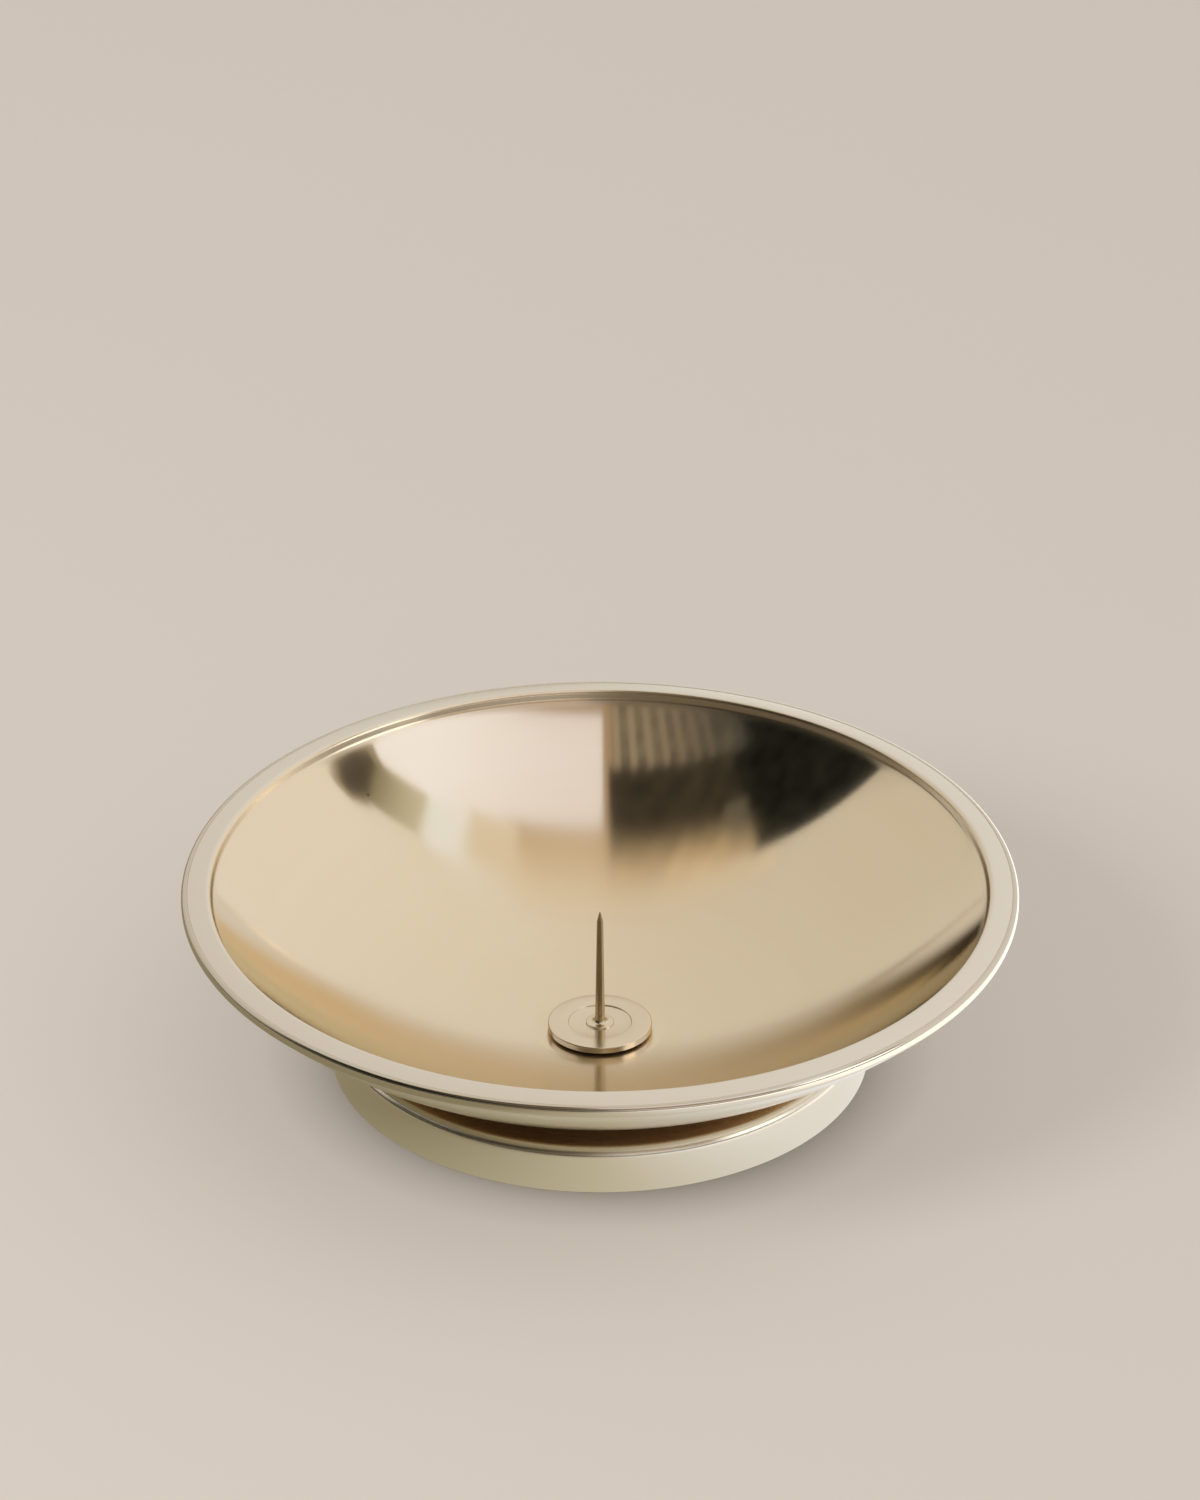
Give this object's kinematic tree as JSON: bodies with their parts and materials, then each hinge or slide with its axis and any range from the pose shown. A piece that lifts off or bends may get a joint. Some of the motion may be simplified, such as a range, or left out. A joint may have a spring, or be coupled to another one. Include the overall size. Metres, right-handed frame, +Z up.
{
  "type": "pin candle dish",
  "caption": "Shallow round double-walled brass dish on a low ring foot, with a flat rim and a pointed central pin on a plate that holds a candle upright.",
  "frame": {"origin": "centre of the foot ring's lower edge, on the surface that the dish stands on", "axes": "+Z up along the candle pin; +X to the right and +Y away from the viewer in the picture"},
  "size_m": [0.16, 0.16, 0.037],
  "materials": {
    "shell_brass": "satin, fine circular brushing",
    "dish_brass": "satin polish with fine circular turning marks, pale matt rim",
    "foot_brass": "matt, fine circular brushing",
    "washer_brass": "plain",
    "plate_brass": "turned and polished",
    "pin_brass": "polished"
  },
  "bodies": {
    "root": {"outer_shell": "shell_brass", "inner_dish": "dish_brass", "foot_ring": "foot_brass", "rivet_washer": "washer_brass", "candle_plate": "plate_brass", "candle_pin": "pin_brass"}
  },
  "joints": []
}
